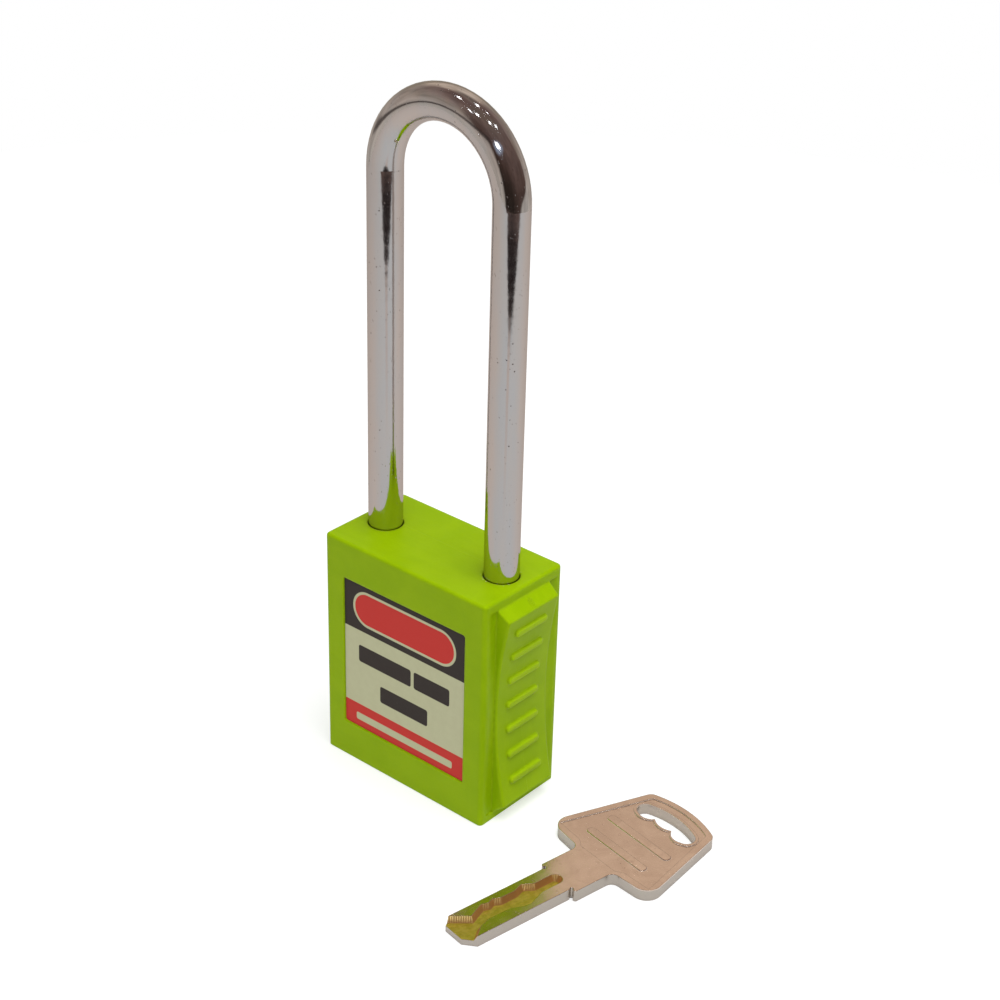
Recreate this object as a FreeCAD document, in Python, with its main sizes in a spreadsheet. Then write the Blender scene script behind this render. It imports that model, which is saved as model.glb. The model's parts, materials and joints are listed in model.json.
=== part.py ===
"""Long-shackle safety padlock with its key, as a parametric FreeCAD document.

Millimetres, +Z up. The origin is the centre of the padlock's base, at the mouth of the keyway.
The front label faces -Y and the shackle's two legs stand on the X axis, the toe at +X.
The padlock is closed and its plug is turned to the unlocked side, so the balls are drawn in.
"""
import FreeCAD, Part
import math
import os
import Sketcher

SIZES = {
    # nylon shell
    "body_height": 45.1, "body_width": 37.5, "body_depth": 20.1, "corner_radius": 0.8,
    "top_radius": 0.55, "foot_radius": 0.2, "cavity_half_width": 17.3, "cavity_half_depth": 7.8,
    "cavity_height": 41.0, "leg_hole_radius": 3.25, "snap_depth": 0.4, "snap_low": 1.0,
    "snap_high": 1.8, "snap_half_length": 5.5, "snap_slope": 0.2, "snap_root": 0.5,
    # grip pads on the two narrow sides
    "pad_half_width": 6.8, "pad_face_half_width": 6.5, "pad_proud": 2.35, "pad_waist": 0.12,
    "pad_root_low": 1.6, "pad_root_high": 43.1, "pad_face_low": 3.4, "pad_face_high": 41.4,
    "valley_width": 2.0, "valley_depth": 0.35, "valley_hollow": 0.28, "rib_width": 1.45,
    "rib_length": 8.3, "rib_proud": 0.5, "rib_edge_radius": 0.36, "rib_pitch": 5.06,
    "rib_lowest": 7.6, "pad_radius": 0.3,
    # label recesses
    "label_width": 28.7, "label_low": 7.4, "label_high": 37.8, "label_radius": 0.45,
    "label_recess": 0.45, "label_thickness": 0.2, "label_gap": 0.08,
    # shackle
    "rod_radius": 3.1, "leg_offset": 13.55, "bend_height": 111.4, "toe_end": 32.5,
    "heel_end": 9.5, "flat_depth": 1.3, "flat_low": 11.9, "flat_high": 28.2,
    "groove_high": 14.1, "notch_radius": 3.2, "leg_end_radius": 0.7, "heel_chamfer": 0.5,
    # lock block, its cross channel and the pin that keeps the shackle in
    "inner_half_width": 17.25, "inner_half_depth": 7.75, "block_low": 24.5,
    "leg_bore_radius": 3.2, "cam_bore_radius": 5.45, "cam_bore_high": 39.5, "ball_radius": 3.0,
    "ball_channel_radius": 3.06, "ball_height": 36.0, "ball_rest": 7.2, "ball_travel": 1.2,
    "toe_floor": 27.5, "stop_pin_radius": 1.0, "stop_pin_x": 10.5, "stop_pin_height": 27.0,
    # base cover and carrier
    "cover_thickness": 2.5, "drain_radius": 1.0, "heel_bore_radius": 3.3, "part_gap": 0.05,
    "press_gap": 0.01,
    # key cylinder: housing, plug, pins
    "barrel_radius": 7.0, "barrel_low": 0.3, "barrel_high": 21.0, "plug_bore_radius": 5.55,
    "pin_block_low": 3.0, "pin_block_high": 23.0, "pin_block_reach": 16.15,
    "pin_block_half_width": 2.6, "plug_radius": 5.5, "plug_flange_radius": 6.2,
    "plug_flange_height": 0.8, "neck_radius": 4.6, "neck_length": 0.7, "tail_radius": 5.3,
    "tail_high": 22.5, "tenon_high": 25.0, "tenon_width": 6.0, "tenon_depth": 3.0,
    "keyway_width": 7.15, "keyway_thickness": 2.45, "keyway_high": 20.0,
    "pin_radius": 1.2, "pin_bore_radius": 1.25, "pin_lowest": 5.0, "pin_pitch": 3.1,
    "pin_chamfer": 0.25, "key_pin_top": 5.4, "driver_low": 5.6, "driver_high": 10.0,
    "pin_spring_end": 15.0, "pin_wire_radius": 0.14, "pin_coil_radius": 0.85,
    "pin_coil_turns": 6.0, "coil_gap": 0.03, "chamber_cover_half_width": 1.8,
    "chamber_cover_low": 3.4,
    "chamber_cover_high": 19.2, "clip_thickness": 0.6, "clip_outer_radius": 6.6,
    "clip_mouth_half_width": 2.6, "clip_gap": 0.1,
    # retaining screw reached through the toe bore
    "screw_radius": 1.45, "screw_hole_radius": 1.5, "screw_tip": 20.0, "screw_head_radius": 2.6,
    "screw_head_height": 2.0, "screw_socket_width": 1.25, "screw_socket_depth": 1.1,
    # cam
    "cam_shaft_radius": 4.2, "cam_low": 22.6, "cam_disc_low": 32.5, "cam_high": 39.4,
    "cam_short_axis": 4.1, "cam_long_axis": 5.2, "cam_slot_width": 6.1, "cam_slot_depth": 3.1,
    "cam_slot_gap": 0.1,
    # shackle spring
    "spring_coil_radius": 2.35, "spring_wire_radius": 0.4, "spring_turns": 5.0,
    # key, drawn along +X from a point on the blade's axis and then turned into place
    "key_x": 37.29, "key_y": -25.37, "key_turn": 79.65, "key_thickness": 2.2,
    "blade_half_width": 3.45, "tip_reach": -10.0, "tip_near": -1.4, "tip_far": 2.75,
    "tip_shoulder_near": -8.15, "tip_shoulder_far": -8.9, "neck_start": 11.75,
    "neck_half_width": 4.5, "neck_corner_radius": 0.4, "nick_radius": 0.35, "bow_start": 20.1,
    "bow_lean": 0.8, "bow_half_width": 12.9, "bow_end": 40.5, "bow_end_half_width": 8.0,
    "bow_crown": 42.15, "bow_corner_radius": 2.8, "bow_end_radius": 1.6,
    "neck_fillet_radius": 1.4,
    "rim_width": 1.1, "panel_depth": 0.16, "track_depth": 1.05, "slot_outer": 39.2,
    "slot_inner": 34.6, "slot_half_length": 6.75, "slot_cusp": 35.9, "slot_lip": 0.45,
    "slot_shoulder": 1.0, "slot_heel": 0.3, "slot_corner": 1.3, "slot_end_place": 2.4,
    "slot_cusp_across": 2.1, "slot_lobe_across": 4.3, "slot_middle_rise": 0.6,
    "panel_start": 0.5, "panel_mouth_inset": 0.2, "panel_flare_along": 0.4,
    "panel_flare_across": 1.5, "track_end": 12.5, "track_end_across": 0.1,
    "track_straight_end": 11.4, "track_run_out": -11.5,
}
PIN_COUNT = 5
RIB_COUNT = 7
DIMPLE_DEPTHS = (0.3, 0.7, 0.45, 0.8, 0.55)
TRACK_WALL_LEAN = -30
# A cut starts this far outside the face it cuts, and a joined piece this far inside.
OVERLAP = 0.5
# The most that a box corner may differ from the point it is looked for at.
NEAR = 0.1
# The share of the rim's width that the bow's panel keeps from each side of the outline.
RIM_SHARE_SIDE, RIM_SHARE_END, RIM_SHARE_END_SIDE = 1.3, 0.7, 1.1
# The milled track's two edges along the blade: (distance along it, distance across it).
TRACK_NEAR_EDGE = ((7.3, -1.15), (4.0, -2.35), (2.5, -2.15), (0.6, -1.3), (-4.1, -1.1),
                   (-6.3, -1.8), (-9.4, -4.4))
TRACK_FAR_EDGE = ((-9.9, 4.2), (-5.9, 1.15), (-4.5, 1.8), (-2.8, 2.5), (-1.5, 2.1),
                  (-0.4, 2.5), (0.9, 1.85), (3.8, 1.85), (5.8, 2.5), (7.7, 1.35))

doc = FreeCAD.newDocument("safety_padlock")
sheet = doc.addObject("Spreadsheet::Sheet", "sizes")
parts = []


class Size:
    """A length worked out from the sheet's cells: its value and its FreeCAD expression."""

    def __init__(self, value, text):
        self.value = value
        self.text = text

    def __add__(self, other):
        other = as_size(other)
        return Size(self.value + other.value, f"({self.text} + {other.text})")

    def __sub__(self, other):
        return self + as_size(other) * -1

    def __mul__(self, other):
        other = as_size(other)
        return Size(self.value * other.value, f"({self.text} * {other.text})")

    def __truediv__(self, other):
        other = as_size(other)
        return Size(self.value / other.value, f"({self.text} / {other.text})")

    def __neg__(self):
        return self * -1

    def __rsub__(self, other):
        return as_size(other) - self

    __radd__ = __add__
    __rmul__ = __mul__


def as_size(thing):
    """A plain number as a Size; a Size is returned as it is."""
    if isinstance(thing, Size):
        return thing
    return Size(float(thing), f"({thing})")


def cell(alias):
    """The Size held by one cell of the sheet."""
    return Size(SIZES[alias], f"sizes.{alias}")


def square_root(size):
    return Size(math.sqrt(size.value), f"sqrt({size.text})")


def fill_sheet():
    for row, (alias, value) in enumerate(SIZES.items(), start=1):
        sheet.set(f"A{row}", alias)
        sheet.set(f"B{row}", str(value))
        sheet.setAlias(f"B{row}", alias)
    doc.recompute()


def bind(thing, **properties):
    """Bind properties to sizes; a double underscore in a name stands for a dot."""
    for name, size in properties.items():
        thing.setExpression(name.replace("__", "."), as_size(size).text)
    return thing


def finish_part(thing, label):
    """Name a finished sub-part and list it for export."""
    doc.recompute()
    thing.Label = label
    parts.append(thing)
    return thing


# ---------------------------------------------------------------- sketches

def new_sketch(body, name, role, height=0):
    """A sketch on one of the body's origin planes, moved along the plane's normal."""
    sketch = body.newObject("Sketcher::SketchObject", name)
    plane = next(item for item in body.Origin.OriginFeatures if item.Role == role)
    sketch.AttachmentSupport = [(plane, "")]
    sketch.MapMode = "FlatFace"
    bind(sketch, AttachmentOffset__Base__z=height)
    return sketch


def hold_point(sketch, geometry, end, x, y):
    """Tie one end of an edge, or a circle's centre, to its place."""
    for kind, size in (("DistanceX", x), ("DistanceY", y)):
        rule = Sketcher.Constraint(kind, -1, 1, geometry, end, size.value)
        index = sketch.addConstraint(rule)
        sketch.setExpression(f"Constraints[{index}]", size.text)


def add_circle(sketch, x, y, radius):
    x, y, radius = as_size(x), as_size(y), as_size(radius)
    centre = FreeCAD.Vector(x.value, y.value, 0)
    circle = Part.Circle(centre, FreeCAD.Vector(0, 0, 1), radius.value)
    geometry = sketch.addGeometry(circle, False)
    hold_point(sketch, geometry, 3, x, y)
    index = sketch.addConstraint(Sketcher.Constraint("Radius", geometry, radius.value))
    sketch.setExpression(f"Constraints[{index}]", radius.text)


def add_outline(sketch, points):
    """A closed outline. A point is (x, y), or (x, y, via) where via lies on the arc to it."""
    corners = [(as_size(point[0]), as_size(point[1])) for point in points]
    starts = []
    for index, point in enumerate(points):
        before = corners[index - 1]
        here = corners[index]
        first = FreeCAD.Vector(before[0].value, before[1].value, 0)
        last = FreeCAD.Vector(here[0].value, here[1].value, 0)
        if len(point) == 2:
            geometry = sketch.addGeometry(Part.LineSegment(first, last), False)
            starts.append((geometry, 1, 2, before))
            continue
        via = FreeCAD.Vector(as_size(point[2][0]).value, as_size(point[2][1]).value, 0)
        geometry = sketch.addGeometry(Part.Arc(first, via, last), False)
        radius = sketch.Geometry[geometry].Radius
        turns_left = (via - first).cross(last - via).z > 0
        starts.append((geometry, 1, 2, before) if turns_left else (geometry, 2, 1, before))
        if first.distanceToPoint(last) < 2 * radius - 1e-6:
            sketch.addConstraint(Sketcher.Constraint("Radius", geometry, radius))
    for index, (geometry, start, end, corner) in enumerate(starts):
        previous = starts[index - 1]
        rule = Sketcher.Constraint("Coincident", previous[0], previous[2], geometry, start)
        sketch.addConstraint(rule)
        hold_point(sketch, geometry, start, *corner)


def add_box(sketch, left, right, low, high):
    add_outline(sketch, [(left, low), (right, low), (right, high), (left, high)])


def add_round_box(sketch, left, right, low, high, radius):
    """A rectangle with rounded corners."""
    left, right, low, high = (as_size(side) for side in (left, right, low, high))
    sag = as_size(radius) * (1 - math.sqrt(0.5))
    add_outline(sketch, [
        (left + radius, low, (left + sag, low + sag)), (right - radius, low),
        (right, low + radius, (right - sag, low + sag)), (right, high - radius),
        (right - radius, high, (right - sag, high - sag)), (left + radius, high),
        (left, high - radius, (left + sag, high - sag)), (left, low + radius)])


# ---------------------------------------------------------------- features

def new_body(name):
    return doc.addObject("PartDesign::Body", name)


def extrude(body, kind, name, sketch, length, backward=False, both_ways=False):
    """A Pad or Pocket of a sketch."""
    feature = body.newObject(f"PartDesign::{kind}", name)
    feature.Profile = sketch
    bind(feature, Length=length)
    feature.Reversed = backward
    if both_ways:
        feature.SideType = "Symmetric"
    doc.recompute()
    return feature


def pad(body, name, sketch, length, **ways):
    return extrude(body, "Pad", name, sketch, length, **ways)


def pocket(body, name, sketch, length, **ways):
    """A Pocket that must take material away."""
    before = body.Tip.Shape.Volume
    feature = extrude(body, "Pocket", name, sketch, length, **ways)
    if feature.Shape.Volume > before - 1e-4:
        raise RuntimeError(f"{name} cuts nothing")
    return feature


def drill(body, name, role, low, high, x, y, radius):
    """A round hole along a plane's normal, from one height to another."""
    sketch = new_sketch(body, f"{name}_sketch", role, low)
    add_circle(sketch, x, y, radius)
    return pocket(body, name, sketch, as_size(high) - low, backward=True)


def cut_ball(body, name, radius, x, y, z):
    sphere = body.newObject("PartDesign::SubtractiveSphere", name)
    bind(sphere, Radius=radius, AttachmentOffset__Base__x=x)
    bind(sphere, AttachmentOffset__Base__y=y, AttachmentOffset__Base__z=z)
    plane = next(item for item in body.Origin.OriginFeatures if item.Role == "XY_Plane")
    sphere.AttachmentSupport = [(plane, "")]
    sphere.MapMode = "FlatFace"
    doc.recompute()
    return sphere


def soften(body, kind, name, radius, wanted):
    """Fillet or chamfer the edges of the body's tip for which wanted(edge) is true."""
    base = body.Tip
    edges = [f"Edge{number}" for number, edge in enumerate(base.Shape.Edges, 1) if wanted(edge)]
    feature = body.newObject(f"PartDesign::{kind}", name)
    feature.Base = (base, edges)
    bind(feature, **{"Radius" if kind == "Fillet" else "Size": radius})
    doc.recompute()
    return feature


def spans(edge):
    """An edge's extent along X, Y and Z."""
    box = edge.BoundBox
    return box.XLength, box.YLength, box.ZLength


def is_upright(edge):
    across_x, across_y, tall = spans(edge)
    return across_x < 1e-4 and across_y < 1e-4 and tall > 1


def is_at_height(edge, height):
    return abs(edge.BoundBox.ZMin - height) < 1e-4 and abs(edge.BoundBox.ZMax - height) < 1e-4


# ---------------------------------------------------------------- shell, cover, labels

def pad_face_x(height):
    """How far out the grip pad's hollowed face lies at a height."""
    half_chord = (cell("pad_face_high") - cell("pad_face_low")) / 2
    middle = (cell("pad_face_high") + cell("pad_face_low")) / 2
    sag = cell("pad_proud") - cell("pad_waist")
    radius = (half_chord * half_chord + sag * sag) / (sag * 2)
    drop = as_size(height) - middle
    rise = radius - square_root(radius * radius - drop * drop)
    return cell("body_width") / 2 + cell("pad_waist") + rise


def add_grip_pads(body):
    """The hollowed pads of both narrow sides, from one sketch in the XZ plane."""
    sketch = new_sketch(body, "grip_pad_sketch", "XZ_Plane")
    side = cell("body_width") / 2
    face = side + cell("pad_proud")
    middle = (cell("pad_face_low") + cell("pad_face_high")) / 2
    waist = side + cell("pad_waist")
    for way in (1, -1):
        add_outline(sketch, [
            ((side - 1) * way, cell("pad_root_low")), (side * way, cell("pad_root_low")),
            (face * way, cell("pad_face_low")),
            (face * way, cell("pad_face_high"), (waist * way, middle)),
            (side * way, cell("pad_root_high")), ((side - 1) * way, cell("pad_root_high"))])
    pad(body, "grip_pads", sketch, cell("pad_half_width") * 2, both_ways=True)


def add_ribs(body):
    """Seven short round-ended ribs across each pad, each as proud as the last."""
    half_width = cell("rib_width") / 2
    straight = cell("rib_length") / 2 - half_width
    half_length = cell("rib_length") / 2
    for number in range(RIB_COUNT):
        height = cell("rib_lowest") + cell("rib_pitch") * number
        sketch = new_sketch(body, f"rib_{number + 1}_sketch", "YZ_Plane")
        low = height - half_width
        high = height + half_width
        add_outline(sketch, [
            (-straight, low, (-half_length, height)), (straight, low),
            (straight, high, (half_length, height)), (-straight, high)])
        reach = pad_face_x(height) + cell("rib_proud")
        pad(body, f"rib_{number + 1}", sketch, reach * 2, both_ways=True)
        soften(body, "Fillet", f"rib_{number + 1}_edges", cell("rib_edge_radius"),
               lambda edge: abs(abs(edge.BoundBox.XMin) - reach.value) < 1e-4
               and abs(abs(edge.BoundBox.XMax) - reach.value) < 1e-4)


def make_shell():
    """The nylon shell: one moulding, open below, with label recesses, pads and ribs."""
    body = new_body("shell")
    half_width = cell("body_width") / 2
    half_depth = cell("body_depth") / 2
    block = new_sketch(body, "shell_block_sketch", "XY_Plane")
    add_box(block, -half_width, half_width, -half_depth, half_depth)
    pad(body, "shell_block", block, cell("body_height"))
    soften(body, "Fillet", "shell_corners", cell("corner_radius"), is_upright)
    top = cell("body_height").value
    soften(body, "Fillet", "shell_top_edge", cell("top_radius"), lambda e: is_at_height(e, top))
    soften(body, "Fillet", "shell_foot_edge", cell("foot_radius"), lambda e: is_at_height(e, 0))

    add_grip_pads(body)
    valley = new_sketch(body, "grip_valley_sketch", "XY_Plane", cell("pad_root_low"))
    inner = cell("pad_half_width")
    outer = inner + cell("valley_width")
    floor = half_width - cell("valley_depth")
    face = half_width + cell("pad_proud")
    clear = face + OVERLAP
    hollow = (half_width - cell("valley_hollow"), inner + cell("valley_width") / 2)
    for way_x in (1, -1):
        for way_y in (1, -1):
            add_outline(valley, [
                (clear * way_x, outer * way_y), (half_width * way_x, outer * way_y),
                (floor * way_x, inner * way_y, (hollow[0] * way_x, hollow[1] * way_y)),
                (face * way_x, cell("pad_face_half_width") * way_y),
                (clear * way_x, cell("pad_face_half_width") * way_y)])
    pocket(body, "grip_valleys", valley, cell("pad_root_high") - cell("pad_root_low"),
           backward=True)
    outmost = face.value - NEAR
    soften(body, "Fillet", "grip_pad_edges", cell("pad_radius"),
           lambda edge: max(abs(edge.BoundBox.XMin), abs(edge.BoundBox.XMax)) > outmost)
    add_ribs(body)

    hollow = new_sketch(body, "cavity_sketch", "XY_Plane")
    width = cell("cavity_half_width")
    depth = cell("cavity_half_depth")
    add_box(hollow, -width, width, -depth, depth)
    pocket(body, "cavity", hollow, cell("cavity_height"), backward=True)
    for name, way in (("toe", 1), ("heel", -1)):
        drill(body, f"{name}_hole", "XY_Plane", cell("cavity_height"), cell("body_height") + 1,
              cell("leg_offset") * way, 0, cell("leg_hole_radius"))
    snap = new_sketch(body, "snap_groove_sketch", "XZ_Plane")
    gap = cell("part_gap")
    inner = width - cell("snap_slope")
    reach = cell("inner_half_width") + cell("snap_depth") + gap
    low = cell("snap_low") - gap
    high = cell("snap_high") + gap
    for way in (1, -1):
        add_outline(snap, [
            (inner * way, low), (reach * way, low), (reach * way, high), (inner * way, high)])
    pocket(body, "snap_grooves", snap, (cell("snap_half_length") + gap) * 2, both_ways=True)
    half_label = cell("label_width") / 2
    for name, way in (("front", 1), ("rear", -1)):
        recess = new_sketch(body, f"{name}_recess_sketch", "XZ_Plane", half_depth * way)
        add_round_box(recess, -half_label, half_label, cell("label_low"), cell("label_high"),
                      cell("label_radius"))
        pocket(body, f"{name}_recess", recess, cell("label_recess"), backward=way < 0)
    return finish_part(body, "body_shell")


def make_labels():
    """The two printed vinyl labels, each lying on the floor of its recess."""
    gap = cell("label_gap")
    half_label = cell("label_width") / 2 - gap
    floor = cell("body_depth") / 2 - cell("label_recess")
    for name, way in (("front", 1), ("rear", -1)):
        body = new_body(f"{name}_sticker")
        sketch = new_sketch(body, f"{name}_label_sketch", "XZ_Plane", floor * way)
        add_round_box(sketch, -half_label, half_label, cell("label_low") + gap,
                      cell("label_high") - gap, cell("label_radius") - gap)
        pad(body, f"{name}_label_pad", sketch, cell("label_thickness"), backward=way < 0)
        finish_part(body, f"{name}_label")


def make_base_cover():
    """The snap-in bottom plate, with the hole for the key cylinder and two drain holes."""
    body = new_body("bottom_plate")
    half_width = cell("inner_half_width")
    plate = new_sketch(body, "cover_sketch", "XY_Plane")
    add_box(plate, -half_width, half_width, -cell("inner_half_depth"), cell("inner_half_depth"))
    pad(body, "cover_plate", plate, cell("cover_thickness"))
    bead = new_sketch(body, "snap_bead_sketch", "XZ_Plane")
    reach = half_width + cell("snap_depth")
    root = half_width - cell("snap_root")
    low = cell("snap_low")
    high = cell("snap_high")
    slope = cell("snap_slope")
    for way in (1, -1):
        add_outline(bead, [
            (root * way, low), (reach * way, low + slope), (reach * way, high - slope),
            (root * way, high)])
    pad(body, "snap_beads", bead, cell("snap_half_length") * 2, both_ways=True)
    drill(body, "cylinder_hole", "XY_Plane", 0, cell("cover_thickness"), 0, 0,
          cell("barrel_radius") + cell("part_gap"))
    for name, way in (("toe", 1), ("heel", -1)):
        drill(body, f"{name}_drain", "XY_Plane", 0, cell("cover_thickness"),
              cell("leg_offset") * way, 0, cell("drain_radius"))
    return finish_part(body, "base_cover")


# ---------------------------------------------------------------- lock block and carrier

def make_lock_block():
    """The die-cast block that guides the legs, the balls and the cam."""
    body = new_body("block")
    half_width = cell("inner_half_width")
    half_depth = cell("inner_half_depth")
    block = new_sketch(body, "block_sketch", "XY_Plane", cell("block_low"))
    add_box(block, -half_width, half_width, -half_depth, half_depth)
    pad(body, "block_pad", block, cell("cavity_height") - cell("block_low") - cell("part_gap"))
    top = cell("cavity_height")
    leg = cell("leg_offset")
    drill(body, "toe_bore", "XY_Plane", cell("toe_floor"), top, leg, 0, cell("leg_bore_radius"))
    drill(body, "heel_bore", "XY_Plane", cell("block_low"), top, -leg, 0,
          cell("leg_bore_radius"))
    drill(body, "screw_hole", "XY_Plane", cell("block_low"), cell("toe_floor"), leg, 0,
          cell("screw_hole_radius"))
    drill(body, "cam_bore", "XY_Plane", cell("block_low"), cell("cam_bore_high"), 0, 0,
          cell("cam_bore_radius"))
    drill(body, "ball_channel", "YZ_Plane", -leg, leg, 0, cell("ball_height"),
          cell("ball_channel_radius"))
    drill(body, "stop_pin_hole", "XZ_Plane", -half_depth, half_depth, -cell("stop_pin_x"),
          cell("stop_pin_height"), cell("stop_pin_radius") + cell("press_gap"))
    return finish_part(body, "lock_block")


def make_carrier():
    """The nylon filler under the lock block that holds the key cylinder and the spring."""
    body = new_body("carrier")
    half_width = cell("inner_half_width")
    low = cell("cover_thickness")
    high = cell("block_low")
    leg = cell("leg_offset")
    gap = cell("part_gap")
    block = new_sketch(body, "carrier_sketch", "XY_Plane", low)
    add_box(block, -half_width, half_width, -cell("inner_half_depth"), cell("inner_half_depth"))
    pad(body, "carrier_pad", block, high - low)
    drill(body, "barrel_bore", "XY_Plane", low, high, 0, 0, cell("barrel_radius") + gap)
    drill(body, "spring_pocket", "XY_Plane", low, high, -leg, 0, cell("heel_bore_radius"))
    slot = new_sketch(body, "pin_block_slot_sketch", "XY_Plane", low)
    across = cell("pin_block_half_width") + gap
    add_box(slot, 0, cell("pin_block_reach") + gap, -across, across)
    pocket(body, "pin_block_slot", slot, cell("pin_block_high") + gap - low, backward=True)
    drill(body, "carrier_screw_hole", "XY_Plane", cell("pin_block_high"), high, leg, 0,
          cell("screw_hole_radius"))
    return finish_part(body, "cylinder_carrier")


# ---------------------------------------------------------------- key cylinder

def pin_height(number):
    return cell("pin_lowest") + cell("pin_pitch") * number


def make_housing():
    """The brass barrel with its pin block, bored for the plug and for the five pin stacks."""
    body = new_body("housing")
    barrel = new_sketch(body, "barrel_sketch", "XY_Plane", cell("barrel_low"))
    add_circle(barrel, 0, 0, cell("barrel_radius"))
    pad(body, "barrel", barrel, cell("barrel_high") - cell("barrel_low"))
    side = new_sketch(body, "pin_block_sketch", "XY_Plane", cell("pin_block_low"))
    across = cell("pin_block_half_width")
    reach = cell("pin_block_reach")
    add_box(side, 0, reach, -across, across)
    pad(body, "pin_block", side, cell("pin_block_high") - cell("pin_block_low"))
    drill(body, "plug_bore", "XY_Plane", cell("barrel_low"), cell("pin_block_high"), 0, 0,
          cell("plug_bore_radius"))
    drill(body, "clip_clearance", "XY_Plane", cell("barrel_high"), cell("pin_block_high"), 0, 0,
          cell("barrel_radius") + cell("clip_gap"))
    drill(body, "flange_seat", "XY_Plane", cell("barrel_low"),
          cell("barrel_low") + cell("plug_flange_height") + cell("part_gap"), 0, 0,
          cell("plug_flange_radius") + cell("part_gap"))
    for number in range(PIN_COUNT):
        drill(body, f"pin_chamber_{number + 1}", "YZ_Plane", 4, reach, 0, pin_height(number),
              cell("pin_bore_radius"))
    lid = new_sketch(body, "chamber_cover_slot_sketch", "XZ_Plane")
    add_box(lid, cell("pin_spring_end"), reach + 1, cell("chamber_cover_low"),
            cell("chamber_cover_high"))
    pocket(body, "chamber_cover_slot", lid, cell("chamber_cover_half_width") * 2, both_ways=True)
    drill(body, "thread_hole", "XY_Plane", cell("screw_tip") - 0.1, cell("pin_block_high"),
          cell("leg_offset"), 0, cell("screw_hole_radius"))
    return finish_part(body, "cylinder_housing")


def make_plug():
    """The brass plug: flange, barrel, clip neck, tail and driving tenon, with its keyway."""
    body = new_body("plug")
    low = cell("barrel_low")
    high = cell("barrel_high")
    neck = high + cell("neck_length")
    steps = (("flange", low, low + cell("plug_flange_height"), cell("plug_flange_radius")),
             ("core", low, high, cell("plug_radius")), ("neck", high, neck, cell("neck_radius")),
             ("tail", neck, cell("tail_high"), cell("tail_radius")))
    for name, bottom, top, radius in steps:
        sketch = new_sketch(body, f"plug_{name}_sketch", "XY_Plane", bottom)
        add_circle(sketch, 0, 0, radius)
        pad(body, f"plug_{name}", sketch, top - bottom)
    tenon = new_sketch(body, "plug_tenon_sketch", "XY_Plane", cell("tail_high"))
    half_width = cell("tenon_width") / 2
    half_depth = cell("tenon_depth") / 2
    add_box(tenon, -half_width, half_width, -half_depth, half_depth)
    pad(body, "plug_tenon", tenon, cell("tenon_high") - cell("tail_high"))
    keyway = new_sketch(body, "keyway_sketch", "XY_Plane", low)
    half_width = cell("keyway_width") / 2
    half_depth = cell("keyway_thickness") / 2
    add_box(keyway, -half_width, half_width, -half_depth, half_depth)
    pocket(body, "keyway", keyway, cell("keyway_high") - low, backward=True)
    for number in range(PIN_COUNT):
        drill(body, f"key_pin_bore_{number + 1}", "XZ_Plane", -cell("plug_radius") - 1, -OVERLAP, 0,
              pin_height(number), cell("pin_bore_radius"))
    return finish_part(body, "cylinder_plug")


def make_pin(label, inner, outer, height, along):
    """One pin lying along +X or +Y, its two ends chamfered."""
    stock = doc.addObject("Part::Cylinder", f"{label}_stock")
    bind(stock, Radius=cell("pin_radius"), Height=as_size(outer) - inner)
    pin = doc.addObject("Part::Chamfer", label)
    pin.Base = stock
    doc.recompute()
    size = cell("pin_chamfer").value
    rings = [number for number, edge in enumerate(stock.Shape.Edges, 1)
             if edge.BoundBox.ZLength < 1e-6]
    pin.Edges = [(number, size, size) for number in rings]
    axis, turn = (FreeCAD.Vector(0, 1, 0), 90) if along == "x" else (FreeCAD.Vector(1, 0, 0), -90)
    pin.Placement = FreeCAD.Placement(FreeCAD.Vector(0, 0, 0), FreeCAD.Rotation(axis, turn))
    bind(pin, **{f"Placement__Base__{along}": inner, "Placement__Base__z": height})
    return finish_part(pin, label)


def make_coil(label, coil_radius, wire_radius, length, turns):
    """A compression spring standing on the XY plane, swept along a helix."""
    helix = doc.addObject("Part::Helix", f"{label}_path")
    bind(helix, Radius=coil_radius, Height=length, Pitch=as_size(length) / turns)
    wire = doc.addObject("Part::Circle", f"{label}_wire")
    bind(wire, Radius=wire_radius, Placement__Base__x=coil_radius)
    rotation = FreeCAD.Rotation(FreeCAD.Vector(1, 0, 0), 90)
    wire.Placement = FreeCAD.Placement(wire.Placement.Base, rotation)
    coil = doc.addObject("Part::Sweep", label)
    coil.Sections = [wire]
    coil.Spine = (helix, ["Edge1"])
    coil.Solid = True
    coil.Frenet = True
    doc.recompute()
    return coil


def make_pin_stacks():
    """Key pins in the plug, drivers and springs in the pin block."""
    half_key = cell("key_thickness") / 2
    for number, depth in enumerate(DIMPLE_DEPTHS):
        height = pin_height(number)
        make_pin(f"key_pin_{number + 1}", half_key - depth + cell("part_gap"), cell("key_pin_top"),
                 height, "y")
    for number in range(PIN_COUNT):
        make_pin(f"driver_pin_{number + 1}", cell("driver_low"), cell("driver_high"),
                 pin_height(number), "x")
    margin = cell("pin_wire_radius") + cell("coil_gap")
    for number in range(PIN_COUNT):
        start = cell("driver_high") + margin
        length = cell("pin_spring_end") - margin - start
        coil = make_coil(f"pin_spring_{number + 1}", cell("pin_coil_radius"),
                         cell("pin_wire_radius"), length, cell("pin_coil_turns"))
        rotation = FreeCAD.Rotation(FreeCAD.Vector(0, 1, 0), 90)
        coil.Placement = FreeCAD.Placement(FreeCAD.Vector(0, 0, 0), rotation)
        bind(coil, Placement__Base__x=start, Placement__Base__z=pin_height(number))
        finish_part(coil, f"pin_spring_{number + 1}")


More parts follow.
